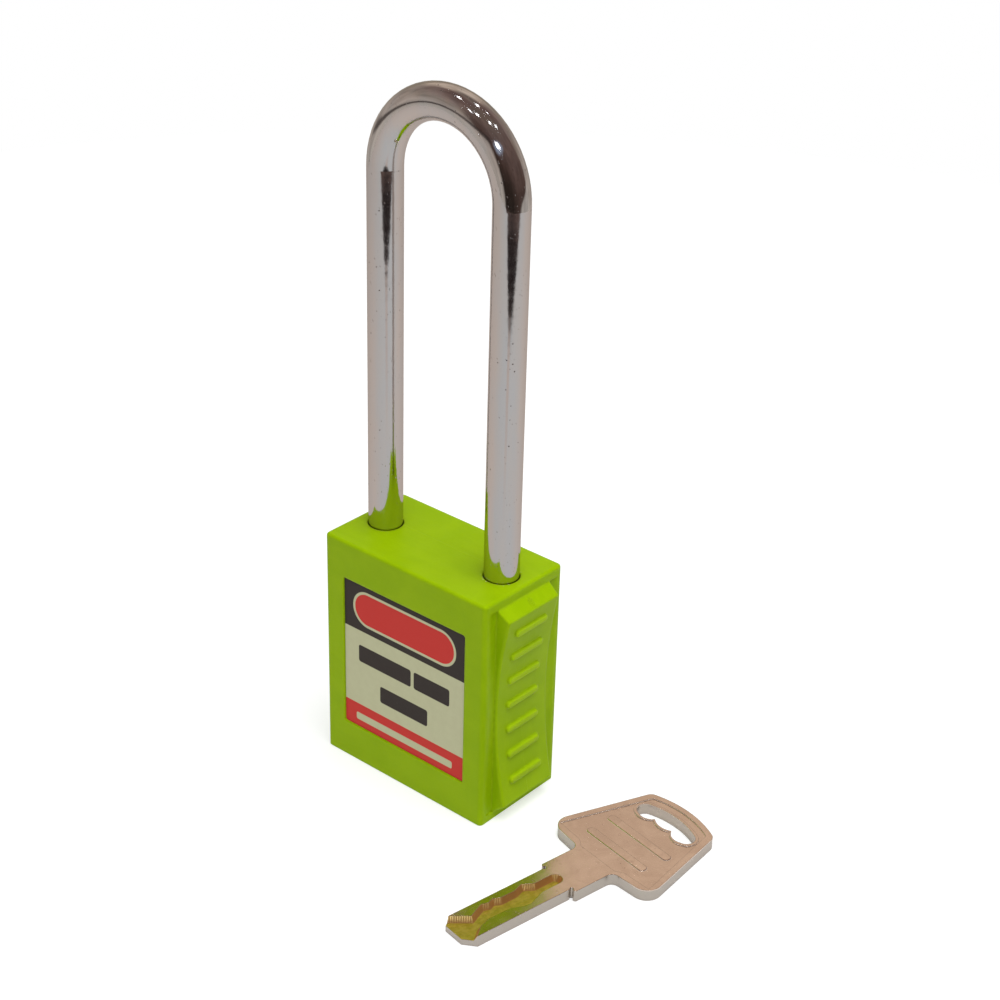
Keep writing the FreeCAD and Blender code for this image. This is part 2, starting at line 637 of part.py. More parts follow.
def make_chamber_cover():
    """The strip pressed over the outer ends of the pin chambers."""
    strip = doc.addObject("Part::Box", "chamber_strip")
    half_width = cell("chamber_cover_half_width")
    bind(strip, Length=cell("pin_block_reach") - cell("pin_spring_end"), Width=half_width * 2,
         Height=cell("chamber_cover_high") - cell("chamber_cover_low"),
         Placement__Base__x=cell("pin_spring_end"), Placement__Base__y=-half_width,
         Placement__Base__z=cell("chamber_cover_low"))
    return finish_part(strip, "pin_chamber_cover")


def make_clip():
    """The C-shaped clip in the plug's neck."""
    body = new_body("clip")
    low = cell("barrel_high") + cell("part_gap")
    ring = new_sketch(body, "clip_sketch", "XY_Plane", low)
    add_circle(ring, 0, 0, cell("clip_outer_radius"))
    add_circle(ring, 0, 0, cell("neck_radius") + cell("part_gap"))
    pad(body, "clip_ring", ring, cell("clip_thickness"))
    mouth = new_sketch(body, "clip_mouth_sketch", "XY_Plane", low)
    across = cell("clip_mouth_half_width")
    add_box(mouth, -across, across, -cell("clip_outer_radius") - 1, 0)
    pocket(body, "clip_mouth", mouth, cell("clip_thickness"), backward=True)
    return finish_part(body, "plug_retaining_clip")


def make_cam():
    """The cam: a shaft driven by the plug's tenon, and an oval head between the balls."""
    body = new_body("cam")
    shaft = new_sketch(body, "cam_shaft_sketch", "XY_Plane", cell("cam_low"))
    add_circle(shaft, 0, 0, cell("cam_shaft_radius"))
    pad(body, "cam_shaft", shaft, cell("cam_disc_low") - cell("cam_low"))
    head = new_sketch(body, "cam_head_sketch", "XY_Plane", cell("cam_disc_low"))
    long_axis = cell("cam_long_axis")
    short_axis = cell("cam_short_axis")
    tip = FreeCAD.Vector(0, long_axis.value, 0)
    flank = FreeCAD.Vector(-short_axis.value, 0, 0)
    head.addGeometry(Part.Ellipse(tip, flank, FreeCAD.Vector(0, 0, 0)), False)
    pad(body, "cam_head", head, cell("cam_high") - cell("cam_disc_low"))
    slot = new_sketch(body, "cam_slot_sketch", "XY_Plane", cell("cam_low"))
    half_width = cell("cam_slot_width") / 2
    half_depth = cell("cam_slot_depth") / 2
    add_box(slot, -half_width, half_width, -half_depth, half_depth)
    pocket(body, "cam_slot", slot, cell("tenon_high") + cell("cam_slot_gap") - cell("cam_low"),
           backward=True)
    return finish_part(body, "locking_cam")


def make_screw():
    """The socket-head screw that holds carrier and cylinder up against the lock block."""
    body = new_body("screw")
    leg = cell("leg_offset")
    seat = cell("toe_floor")
    shank = new_sketch(body, "screw_shank_sketch", "XY_Plane", cell("screw_tip"))
    add_circle(shank, leg, 0, cell("screw_radius"))
    pad(body, "screw_shank", shank, seat - cell("screw_tip"))
    head = new_sketch(body, "screw_head_sketch", "XY_Plane", seat)
    add_circle(head, leg, 0, cell("screw_head_radius"))
    pad(body, "screw_head", head, cell("screw_head_height"))
    socket = new_sketch(body, "screw_socket_sketch", "XY_Plane", seat + cell("screw_head_height"))
    side = cell("screw_socket_width")
    add_outline(socket, [(leg + side * math.cos(math.radians(turn)),
                          side * math.sin(math.radians(turn))) for turn in range(0, 360, 60)])
    pocket(body, "screw_socket", socket, cell("screw_socket_depth"))
    return finish_part(body, "cylinder_retaining_screw")


# ---------------------------------------------------------------- shackle and its parts

def make_balls():
    """The two steel balls, drawn in against the cam's flanks."""
    for name, way in (("toe", 1), ("heel", -1)):
        ball = doc.addObject("Part::Sphere", f"{name}_sphere")
        bind(ball, Radius=cell("ball_radius"), Placement__Base__x=cell("ball_rest") * way,
             Placement__Base__z=cell("ball_height"))
        finish_part(ball, f"{name}_ball")


def make_shackle():
    """The bent steel rod, with ball notches and the heel leg's long flat and ring groove."""
    body = new_body("rod")
    leg = cell("leg_offset")
    bend = cell("bend_height")
    radius = cell("rod_radius")
    path = new_sketch(body, "shackle_path", "XZ_Plane")
    left, right, crown = -leg.value, leg.value, bend.value + leg.value
    heel, toe = cell("heel_end"), cell("toe_end")
    corners = [FreeCAD.Vector(x, z, 0) for x, z in (
        (left, heel.value), (left, bend.value), (0, crown), (right, bend.value),
        (right, toe.value))]
    path.addGeometry(Part.LineSegment(corners[0], corners[1]), False)
    path.addGeometry(Part.Arc(corners[1], corners[2], corners[3]), False)
    path.addGeometry(Part.LineSegment(corners[3], corners[4]), False)
    path.addConstraint(Sketcher.Constraint("Coincident", 0, 2, 1, 2))
    path.addConstraint(Sketcher.Constraint("Coincident", 1, 1, 2, 1))
    hold_point(path, 0, 1, -leg, heel)
    hold_point(path, 0, 2, -leg, bend)
    hold_point(path, 2, 1, leg, bend)
    hold_point(path, 2, 2, leg, toe)
    section = new_sketch(body, "shackle_section", "XY_Plane", heel)
    add_circle(section, -leg, 0, radius)
    rod = body.newObject("PartDesign::AdditivePipe", "shackle_rod")
    rod.Profile = section
    rod.Spine = (path, ["Edge1", "Edge2", "Edge3"])
    doc.recompute()
    low = heel.value
    soften(body, "Chamfer", "heel_end_edge", cell("heel_chamfer"), lambda e: is_at_height(e, low))
    end = toe.value
    soften(body, "Fillet", "toe_end_edge", cell("leg_end_radius"),
           lambda e: is_at_height(e, end))
    locked = cell("ball_rest") + cell("ball_travel")
    cut_ball(body, "toe_notch", cell("notch_radius"), locked, 0, cell("ball_height"))
    cut_ball(body, "heel_notch", cell("notch_radius"), -locked, 0, cell("ball_height"))
    flat = new_sketch(body, "heel_flat_sketch", "XZ_Plane")
    inner = -leg + radius
    add_box(flat, inner - cell("flat_depth"), inner + 1, cell("flat_low"), cell("flat_high"))
    pocket(body, "heel_flat", flat, radius * 2 + 1, both_ways=True)
    ring = new_sketch(body, "swivel_groove_sketch", "XY_Plane", cell("flat_low"))
    add_circle(ring, -leg, 0, radius + OVERLAP)
    add_circle(ring, -leg, 0, radius - cell("flat_depth"))
    pocket(body, "swivel_groove", ring, cell("groove_high") - cell("flat_low"), backward=True)
    return finish_part(body, "shackle")


def make_stop_pin():
    """The cross pin that runs in the heel leg's flat and stops the shackle coming out."""
    pin = doc.addObject("Part::Cylinder", "stop_pin")
    half_length = cell("inner_half_depth")
    rotation = FreeCAD.Rotation(FreeCAD.Vector(1, 0, 0), 90)
    pin.Placement = FreeCAD.Placement(FreeCAD.Vector(0, 0, 0), rotation)
    bind(pin, Radius=cell("stop_pin_radius"), Height=half_length * 2,
         Placement__Base__x=-cell("stop_pin_x"), Placement__Base__y=half_length,
         Placement__Base__z=cell("stop_pin_height"))
    return finish_part(pin, "shackle_retaining_pin")


def make_shackle_spring():
    """The spring under the heel leg, squeezed between it and the base cover."""
    margin = cell("spring_wire_radius") + cell("part_gap")
    start = cell("cover_thickness") + margin
    length = cell("heel_end") - margin - start
    coil = make_coil("lift_spring", cell("spring_coil_radius"), cell("spring_wire_radius"),
                     length, cell("spring_turns"))
    bind(coil, Placement__Base__x=-cell("leg_offset"), Placement__Base__z=start)
    return finish_part(coil, "shackle_spring")


# ---------------------------------------------------------------- key

def bow_outline(inset):
    """The bow's outline, or the same outline a distance further in, without its neck."""
    start = cell("bow_start") + inset
    lean = cell("bow_lean")
    side = cell("bow_half_width") - inset * RIM_SHARE_SIDE
    end = cell("bow_end") - inset * RIM_SHARE_END
    end_side = cell("bow_end_half_width") - inset * RIM_SHARE_END_SIDE
    crown = cell("bow_crown") - inset
    return [(start + lean, side), (end, end_side), (end, -end_side, (crown, 0)),
            (start + lean, -side)]


def slot_outline(grow):
    """The scalloped finger slot near the bow's end, or the same slot grown all round."""
    outer = cell("slot_outer") + grow
    inner = cell("slot_inner") - grow
    cusp = cell("slot_cusp") - grow
    half = cell("slot_half_length") + grow
    shoulder = outer - cell("slot_shoulder")
    heel = inner + cell("slot_heel")
    side = half - cell("slot_corner")
    end = outer - cell("slot_end_place")
    notch = cell("slot_cusp_across")
    lobe = cell("slot_lobe_across")
    middle = inner + cell("slot_middle_rise")
    return [(shoulder, -side, (outer, 0)), (heel, -side, (end, -half)),
            (cusp, -notch, (inner, -lobe)), (cusp, notch, (middle, 0)),
            (heel, side, (inner, lobe)), (shoulder, side, (end, half))]


def make_key():
    """The flat dimple key: blade with its milled track, neck, and bow with panel and slot."""
    body = new_body("flat_key")
    thickness = cell("key_thickness")
    blade = cell("blade_half_width")
    neck = cell("neck_half_width")
    start = cell("bow_start")
    bow = bow_outline(0)
    outline = new_sketch(body, "key_outline", "XY_Plane")
    add_outline(outline, [
        (cell("tip_reach"), cell("tip_near")), (cell("tip_reach"), cell("tip_far")),
        (cell("tip_shoulder_far"), blade),
        (cell("neck_start"), blade), (cell("neck_start"), neck), (start, neck), *bow,
        (start, -neck), (cell("neck_start"), -neck), (cell("neck_start"), -blade),
        (cell("tip_shoulder_near"), -blade)])
    pad(body, "key_blank", outline, thickness)

    def corner(edge, x, y):
        box = edge.BoundBox
        return is_upright(edge) and max(abs(box.XMin - x), abs(abs(box.YMin) - y)) < NEAR

    rounds = (("bow_shoulders", "bow_corner_radius", start + cell("bow_lean"),
               cell("bow_half_width")),
              ("bow_ends", "bow_end_radius", cell("bow_end"), cell("bow_end_half_width")),
              ("neck_fillets", "neck_fillet_radius", start, neck),
              ("neck_corners", "neck_corner_radius", cell("neck_start"), neck))
    for name, radius, x, y in rounds:
        soften(body, "Fillet", name, cell(radius),
               lambda edge: corner(edge, x.value, y.value))
    nicks = new_sketch(body, "nick_sketch", "XY_Plane")
    for way in (1, -1):
        add_circle(nicks, cell("neck_start"), (blade + NEAR) * way, cell("nick_radius"))
    pocket(body, "neck_nicks", nicks, thickness, backward=True)

    panel = new_sketch(body, "panel_sketch", "XY_Plane", thickness)
    rim = cell("rim_width")
    line = start + cell("panel_start")
    mouth = neck - cell("panel_mouth_inset")
    flare = start + rim + cell("panel_flare_along")
    flare_side = mouth + cell("panel_flare_across")
    add_outline(panel, [(line, -mouth), (line, mouth), (flare, flare_side),
                        *bow_outline(rim), (flare, -flare_side)])
    add_outline(panel, slot_outline(cell("slot_lip")))
    pocket(body, "panel_recess", panel, cell("panel_depth"))
    slot = new_sketch(body, "slot_sketch", "XY_Plane")
    add_outline(slot, slot_outline(0))
    pocket(body, "finger_slot", slot, thickness, backward=True)

    track = new_sketch(body, "track_sketch", "XY_Plane", thickness)
    straight_end = cell("track_straight_end")
    run_out = cell("track_run_out")
    add_outline(track, [
        (straight_end, TRACK_NEAR_EDGE[0][1], (cell("track_end"), cell("track_end_across"))),
        *TRACK_NEAR_EDGE, (run_out, TRACK_NEAR_EDGE[-1][1]), (run_out, TRACK_FAR_EDGE[0][1]),
        *TRACK_FAR_EDGE, (straight_end, TRACK_FAR_EDGE[-1][1])])
    floor = pocket(body, "milled_track", track, cell("track_depth"))
    floor.TaperAngle = TRACK_WALL_LEAN
    body.Placement = FreeCAD.Placement(FreeCAD.Vector(0, 0, 0),
                                       FreeCAD.Rotation(FreeCAD.Vector(0, 0, 1), 1))
    bind(body, Placement__Base__x=cell("key_x"), Placement__Base__y=cell("key_y"),
         Placement__Rotation__Angle=cell("key_turn"))
    return finish_part(body, "key")


# ---------------------------------------------------------------- checks and export

def check_document():
    for thing in doc.Objects:
        if "Invalid" in thing.State or "Error" in thing.State:
            raise RuntimeError(f"{thing.Label} failed: {thing.getStatusString()}")
    for part in parts:
        shape = part.Shape
        if shape.isNull() or not shape.isValid() or not shape.Solids:
            raise RuntimeError(f"{part.Label} is not a valid solid")


def export_parts():
    os.makedirs("parts", exist_ok=True)
    for part in parts:
        part.Shape.exportStep(f"parts/{part.Label}.step")
        print(f"{part.Label:26s} {part.Shape.Volume:10.2f} mm3")


fill_sheet()
make_shell()
make_labels()
make_base_cover()
make_lock_block()
make_carrier()
make_housing()
make_screw()
make_chamber_cover()
make_stop_pin()
make_shackle_spring()
make_plug()
make_clip()
make_cam()
make_pin_stacks()
make_balls()
make_shackle()
make_key()
doc.recompute()
check_document()
export_parts()
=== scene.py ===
"""Looks of the safety padlock and its key: materials, label print, floor, light and camera."""

import json
import math

import bmesh
import bpy
from mathutils import Matrix, Vector


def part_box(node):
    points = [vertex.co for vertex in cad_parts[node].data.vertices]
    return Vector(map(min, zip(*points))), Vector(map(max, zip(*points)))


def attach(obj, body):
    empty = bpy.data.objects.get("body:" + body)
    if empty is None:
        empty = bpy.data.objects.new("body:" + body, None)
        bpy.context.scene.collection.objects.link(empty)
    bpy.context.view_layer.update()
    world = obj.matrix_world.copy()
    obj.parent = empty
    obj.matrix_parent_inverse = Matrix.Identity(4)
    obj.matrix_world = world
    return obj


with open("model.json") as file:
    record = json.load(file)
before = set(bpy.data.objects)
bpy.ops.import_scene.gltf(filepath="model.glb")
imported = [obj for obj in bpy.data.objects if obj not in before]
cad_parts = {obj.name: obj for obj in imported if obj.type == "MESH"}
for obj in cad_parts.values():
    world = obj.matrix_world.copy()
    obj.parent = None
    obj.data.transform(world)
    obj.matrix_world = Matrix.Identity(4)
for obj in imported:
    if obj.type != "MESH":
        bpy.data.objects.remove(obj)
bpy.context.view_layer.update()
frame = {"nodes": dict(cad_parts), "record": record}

MM = 0.001

# The camera, the softbox, the table and the way the room's front lies, in metres and radians.
# The lens and the sensor are in millimetres.
CAMERA_PLACE = Vector((0.209447, -0.234444, 0.225797))
CAMERA_AZIMUTH = math.radians(39.996)
CAMERA_ELEVATION = math.radians(28.544)
CAMERA_ROLL = math.radians(-1.600)
CAMERA_LENS = 75.04
CAMERA_SENSOR = 36.0
CAMERA_NEAREST = 0.01
SOFTBOX_PLACE = (0.19, -0.05, 0.83)
SOFTBOX_AIM = (0.0, 0.0, 0.04)
SOFTBOX_SIZE = 0.75
SOFTBOX_WATTS = 6.9
FLOOR_RADIUS = 0.36
FLOOR_DROP = 0.00002
ROOM_FRONT = math.radians(-48.22)

# The dark edge that the metal sees in the table, in degrees round from the room's front and
# metres from the origin: its middle, where it starts, and where it fades.
DARK_EDGE_TURN = 5.0
DARK_EDGE_START = 0.218
DARK_EDGE_END = 0.3065
DARK_EDGE_LEFT, DARK_EDGE_RIGHT, DARK_EDGE_TAPER = 0.00009, 0.00005, 0.0005
DARK_EDGE_COLOUR, DARK_EDGE_FADED = (0.024, 0.018, 0.018, 1), (0.125, 0.085, 0.075, 1)

# The table's glow, what the camera adds to it and the metal takes off it, and the colours the
# metal sees in it: at the room's front, on the way out to the dark edge, and to the sides.
TABLE_GLOW, GLOW_FOR_CAMERA, GLOW_OFF_METAL = 0.38, 0.22, 0.32
MIRRORED_FRONT, MIRRORED_TAIL = (0.535, 0.53, 0.53, 1), (0.53, 0.455, 0.42, 1)
MIRRORED_SIDES = (0.60, 0.53, 0.49, 1)

# The room seen in the metal: colours by degrees above level, and lamps as turn and rise of
# the middle, tilt, and half sizes, all in degrees. The fill is the grey that matt pieces get.
TABLE = (-24, (0.66, 0.62, 0.57))
ROOM_NEAR = (TABLE, (-18, (0.03, 0.022, 0.018)), (0, (0.045, 0.03, 0.024)),
             (14, (0.085, 0.052, 0.043)), (32, (0.14, 0.092, 0.08)),
             (48, (0.19, 0.132, 0.115)), (68, (0.21, 0.155, 0.13)))
ROOM_WARM = (TABLE, (-18, (0.075, 0.048, 0.04)), (0, (0.12, 0.075, 0.063)),
             (14, (0.15, 0.096, 0.083)), (32, (0.18, 0.12, 0.106)),
             (48, (0.205, 0.140, 0.125)), (68, (0.21, 0.155, 0.13)))
ROOM_FAR = (TABLE, (-8, (0.64, 0.58, 0.53)), (6, (0.60, 0.52, 0.47)),
            (22, (0.42, 0.35, 0.30)), (40, (0.335, 0.25, 0.222)), (58, (0.21, 0.14, 0.125)))
ROOM_BACK = (TABLE, (0, (0.5, 0.44, 0.37)), (18, (0.46, 0.39, 0.31)),
             (30, (0.86, 0.715, 0.60)), (50, (0.86, 0.71, 0.59)), (64, (0.26, 0.20, 0.17)))
RAIL_COLOUR = (0.055, 0.04, 0.037, 1)
LAMPS = ((-104, 68, 151, 4.4, 1.0), (146, 78, 90, 6.0, 1.0), (-53, 54, 84, 2.9, 0.7),
         (-36, 63, 71, 4.2, 0.9), (117, 67, 124, 2.0, 0.5), (29, 69, 17, 5.0, 1.0),
         (69, 63, 165, 4.2, 0.8), (-6, 35, 32, 8.0, 1.9))
LAMP_LIGHT = (14.0, 14.4, 15.0, 1)
HALO = (-6, 33, 32, 24.0, 6.5)
HALO_LIGHT = (0.26, 0.36, 0.50, 1)
ROOM_FILL = 0.34

# The key: its angle to the X axis, how far the bow reaches beyond the key's own origin, the
# centre and half sizes of the blade's face in millimetres along and across it, the way the
# track's short steps face, and the bars as places along the key and half lengths.
KEY_TURN = math.radians(79.65)
KEY_LENGTH_AHEAD = 42.15 * MM
BLADE_FACE = ((1.0, 0.1), (13.2, 3.38))
# The steps' facing also picks the track walls that get a painted highlight.
STEP_FACING = (0.606, 0.795)
PANEL_DEPTH = 0.16 * MM
BAR_PLACES = ((25.0, 7.4), (30.2, 7.8))
BAR_WIDTH = 2.0 * MM
BAR_HEIGHT = 0.11 * MM
BAR_CORNER = 0.9 * MM
BAR_EDGE = 0.3 * MM

# The shell, in millimetres.
LEG_SIDE = 13.55
PAD_SIDE = 18.95
PAD_MIDDLE = 22.4
PAD_FACE = 18.87
PAD_HOLLOW = 0.0062
GATE_PLACE = (0.4, 42.25)
SEAM_PLACE = 1.3

# The label's print, in millimetres from its centre line and its foot. Each block is a
# centre, half sizes and a corner radius.
BAND_HEIGHT = 9.6
FOOT_HEIGHT = 4.9
PRINT_EDGE = 0.04
WORD_BLOCKS = (((-4.6, 15.9), (6.3, 1.75), 0.45), ((6.6, 15.9), (4.2, 1.75), 0.45),
               ((0.0, 9.3), (5.7, 1.7), 0.45))
FOOT_BAR = ((0.0, 2.2), (11.6, 0.75), 0.35)
BADGE_RISE = 4.85
BADGE_RIM = ((12.2, 3.6), 3.55)
BADGE_FIELD = ((11.7, 3.1), 3.05)

# The finishes' colours. The plain metals' are given where those finishes are made.
LIME_DARK, LIME_LIGHT = (0.292, 0.47, 0.0, 1), (0.325, 0.505, 0.001, 1)
# The lighter lime is rubbed wear and also the painted highlight on edges and rib faces.
LIME_WORN_AND_HIGHLIGHT, LIME_GLOSS = (0.43, 0.63, 0.008, 1), (0.75, 0.9, 0.35, 1)
LIME_DUST = (0.75, 0.8, 0.5, 1)
BLACK_DARK, BLACK_LIGHT = (0.022, 0.022, 0.023, 1), (0.034, 0.034, 0.035, 1)
# The lighter black is rubbed wear and also a painted highlight on edges.
BLACK_WORN_AND_HIGHLIGHT = (0.09, 0.09, 0.09, 1)
CREAM, CREAM_SHADE = (0.605, 0.605, 0.38, 1), (0.585, 0.583, 0.362, 1)
INK, RED, PRINT_WORN = (0.045, 0.036, 0.032, 1), (0.66, 0.043, 0.034, 1), (0.47, 0.45, 0.33, 1)
CHROME_WARM, CHROME_COOL = (0.61, 0.575, 0.555, 1), (0.585, 0.575, 0.575, 1)
CHROME_EDGE, CHROME_PIT = (0.8, 0.77, 0.75, 1), (0.2, 0.17, 0.16, 1)
NICKEL_DARK, NICKEL_LIGHT = (0.71, 0.555, 0.445, 1), (0.80, 0.64, 0.52, 1)
NICKEL_STAIN, NICKEL_SIDE = (0.46, 0.34, 0.27, 1), (0.66, 0.60, 0.53, 1)
# The pale ledge colour is a painted highlight.
NICKEL_SPECK, NICKEL_LEDGE_HIGHLIGHT = (0.25, 0.18, 0.15, 1), (0.95, 0.78, 0.66, 1)
# The rubbed colour is rubbed wear and also a painted highlight on the edges.
NICKEL_RUBBED_AND_HIGHLIGHT = (0.8, 0.66, 0.55, 1)
BRASS_DARK, BRASS_LIGHT = (0.52, 0.43, 0.05, 1), (0.66, 0.54, 0.09, 1)
# The bright brass is a painted highlight on the tool lines of some track walls.
BRASS_WALL, BRASS_HIGHLIGHT = (0.66, 0.36, 0.12, 1), (0.98, 0.78, 0.30, 1)


# ---------------------------------------------------------------- node trees

class Tree:
    """A node tree being filled. Each call adds nodes and gives back an output socket."""

    def __init__(self, tree):
        self.tree = tree
        tree.nodes.clear()

    def node(self, kind, inputs=(), **settings):
        made = self.tree.nodes.new("ShaderNode" + kind)
        for name, value in settings.items():
            setattr(made, name, value)
        for name, value in dict(inputs).items():
            self.feed(made.inputs[name], value)
        return made

    def feed(self, socket, value):
        if isinstance(value, bpy.types.NodeSocket):
            self.tree.links.new(value, socket)
        else:
            socket.default_value = value

    def math(self, operation, first, second=0.0):
        return self.node("Math", {0: first, 1: second}, operation=operation).outputs[0]

    def product(self, *factors):
        result = factors[0]
        for factor in factors[1:]:
            result = self.math("MULTIPLY", result, factor)
        return result

    def vector(self, operation, first, second):
        made = self.node("VectorMath", {0: first}, operation=operation)
        self.feed(made.inputs["Scale" if operation == "SCALE" else 1], second)
        return made.outputs[0]

    def magnitude(self, value):
        """The value without its sign."""
        return self.math("ABSOLUTE", value)

    def dot(self, first, second):
        made = self.node("VectorMath", {0: first, 1: second}, operation="DOT_PRODUCT")
        return made.outputs["Value"]

    def step(self, value, start, end, low=0.0, high=1.0):
        """Smoothly from low at start to high at end."""
        inputs = {0: value, 1: start, 2: end, 3: low, 4: high}
        return self.node("MapRange", inputs, interpolation_type="SMOOTHSTEP").outputs[0]

    def mix(self, factor, first, second, blend="MIX"):
        made = self.node("Mix", {0: factor, 6: first, 7: second},
                         data_type="RGBA", blend_type=blend)
        return made.outputs[2]

    def noise(self, vector, scale, detail=2.0, roughness=0.5, distortion=0.0):
        inputs = {"Vector": vector, "Scale": scale, "Detail": detail,
                  "Roughness": roughness, "Distortion": distortion}
        return self.node("TexNoise", inputs).outputs["Fac"]

    def cells(self, vector, scale):
        """The distance to the nearest of some scattered points."""
        return self.node("TexVoronoi", {"Vector": vector, "Scale": scale}).outputs["Distance"]

    def place(self):
        """Where a point of the piece is, in millimetres."""
        where = self.node("TexCoord").outputs["Object"]
        return self.vector("SCALE", where, 1 / MM)

    def axes(self, vector):
        made = self.node("SeparateXYZ", {0: vector})
        return made.outputs[0], made.outputs[1], made.outputs[2]

    def stretch(self, vector, x, y, z):
        return self.vector("MULTIPLY", vector, (x, y, z))

    def softened(self, radius):
        """The surface's direction with its edges rounded over a radius in millimetres."""
        return self.node("Bevel", {"Radius": radius * MM}, samples=8).outputs[0]

    def edges(self, bevel):
        """1 on the edges that a softened direction rounds, 0 on the flats."""
        same = self.dot(bevel, self.node("NewGeometry").outputs["Normal"])
        return self.step(same, 0.997, 0.97)

    def bump(self, height, depth, normal=None):
        """Height from 0 to 1 becomes a relief depth millimetres deep."""
        inputs = {"Strength": 1.0, "Distance": depth * MM, "Height": height}
        if normal is not None:
            inputs["Normal"] = normal
        return self.node("Bump", inputs).outputs[0]

    def round_box(self, x, z, centre, half, radius, soft=0.05):
        """1 inside a rounded rectangle of the x and z coordinates, 0 outside."""
        def beyond(value, middle, reach):
            off = self.magnitude(self.math("SUBTRACT", value, middle))
            return self.math("MAXIMUM", self.math("SUBTRACT", off, reach - radius), 0.0)
        across = beyond(x, centre[0], half[0])
        along = beyond(z, centre[1], half[1])
        squares = self.math("ADD", self.product(across, across), self.product(along, along))
        away = self.math("SUBTRACT", self.math("SQRT", squares), radius)
        return self.step(away, soft, -soft)

    def shader(self, colour, roughness, normal=None, **fixed):
        """The Principled shader and the output. Values in fixed are the same all over."""
        made = self.node("BsdfPrincipled", {"Base Color": colour, "Roughness": roughness})
        if normal is not None:
            self.feed(made.inputs["Normal"], normal)
        for name, value in fixed.items():
            self.feed(made.inputs[name.replace("_", " ")], value)
        self.node("OutputMaterial", {"Surface": made.outputs[0]})
        return made


def new_material(name):
    material = bpy.data.materials.new(name)
    material.use_nodes = True
    return material, Tree(material.node_tree)


def grey(value):
    return (value, value, value, 1.0)


# ---------------------------------------------------------------- materials

def shell_marks(tree, place, x, y, z):
    """Masks of the lime shell: its rib faces for a painted highlight, its moulding marks, and
    the dust at the toe hole.
    """
    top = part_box("body_shell")[1].z / MM
    side, depth = tree.magnitude(x), tree.magnitude(y)
    pad = tree.step(side, PAD_SIDE, PAD_SIDE + 0.15)
    from_middle = tree.math("SUBTRACT", z, PAD_MIDDLE)
    hollow = tree.product(from_middle, from_middle, PAD_HOLLOW)
    proud = tree.math("SUBTRACT", side, tree.math("ADD", hollow, PAD_FACE))
    # Where the rib faces stand proud; these are painted lighter as a painted highlight.
    rib_highlight_mask = tree.product(tree.step(proud, 0.12, 0.4), tree.step(z, 40.6, 39.8),
                           tree.step(z, 5.0, 5.8), tree.step(depth, 4.6, 4.3))
    ragged = tree.step(tree.noise(place, 3.5, 3.0, 0.7), 0.42, 0.62)
    gate = tree.product(pad, ragged, tree.round_box(y, z, GATE_PLACE, (0.6, 0.5), 0.4, 0.12))
    parting = tree.product(pad, tree.step(depth, 0.09, 0.03),
                           tree.step(tree.noise(place, 0.6, 2.0), 0.35, 0.6), 0.45)
    on_top = tree.step(z, top - 0.1, top - 0.02)
    from_seam = tree.magnitude(tree.math("SUBTRACT", y, SEAM_PLACE))
    seam = tree.product(on_top, tree.step(from_seam, 0.1, 0.03), tree.step(side, 10.5, 9.5), 0.6)
    reach = tree.node("VectorMath", {0: place, 1: (LEG_SIDE, 0.0, top)},
                      operation="DISTANCE").outputs["Value"]
    crumbs = tree.step(tree.cells(place, 2.3), 0.34, 0.2)
    dust = tree.product(on_top, tree.step(reach, 3.75, 3.5), crumbs,
                        tree.step(tree.noise(place, 0.5, 2.0), 0.42, 0.55))
    marks = tree.math("MAXIMUM", gate, tree.math("MAXIMUM", parting, seam))
    return rib_highlight_mask, marks, dust


def moulded_nylon(name, dark, light, worn, roughness=0.42, shell=False):
    """Satin moulded nylon: flow shades, fine grain, edges painted a little lighter as rubbed
    wear and a painted highlight.
    """
    material, tree = new_material(name)
    place = tree.place()
    x, y, z = tree.axes(place)
    flow = tree.noise(place, 0.11, 3.0, 0.55, 1.2)
    streaks = tree.noise(tree.stretch(place, 0.35, 1.6, 1.0), 0.22, 3.0, 0.6, 0.8)
    speck = tree.noise(place, 2.6, 4.0, 0.65)
    shade = tree.math("ADD", tree.product(flow, 0.4), tree.product(streaks, 0.35))
    shade = tree.math("ADD", shade, tree.product(speck, 0.25))
    colour = tree.mix(tree.step(shade, 0.38, 0.62), dark, light)
    bevel = tree.softened(0.65)
    # Edges painted lighter in patches: partly rubbed wear, partly a painted highlight on the
    # rounded edges.
    edge = tree.product(tree.edges(bevel), tree.step(tree.noise(place, 0.9, 3.0), 0.2, 0.7))
    colour = tree.mix(tree.product(edge, 0.5), colour, worn)
    grain = tree.noise(place, 7.0, 4.0, 0.6)
    ripple = tree.noise(place, 0.35, 2.0, 0.5)
    patches = tree.math("SUBTRACT", tree.noise(place, 0.5, 4.0, 0.6), 0.5)
    rough = tree.math("ADD", roughness, tree.product(patches, 0.18))
    scuff = tree.step(tree.noise(tree.stretch(place, 5.0, 0.7, 1.1), 0.9, 3.0, 0.6), 0.62, 0.7)
    rough = tree.math("ADD", rough, tree.product(scuff, 0.1))
    normal = tree.bump(ripple, 0.05, bevel)
    normal = tree.bump(grain, 0.006, normal)
    if shell:
        rib_highlight, marks, dust = shell_marks(tree, place, x, y, z)
        # Rib faces painted lighter: a painted highlight where their rounded tops catch the
        # light.
        colour = tree.mix(tree.product(rib_highlight, 0.45), colour, worn)
        colour = tree.mix(tree.product(marks, 0.5), colour, worn)
        colour = tree.mix(tree.product(dust, 0.7), colour, LIME_DUST)
        normal = tree.bump(marks, 0.06, normal)
    tree.shader(colour, rough, normal, IOR=1.5, Specular_IOR_Level=0.13,
                Specular_Tint=LIME_GLOSS if shell else grey(1.0),
                Subsurface_Weight=0.1, Subsurface_Radius=(0.5, 0.8, 0.1),
                Subsurface_Scale=1.0 * MM)
    return material


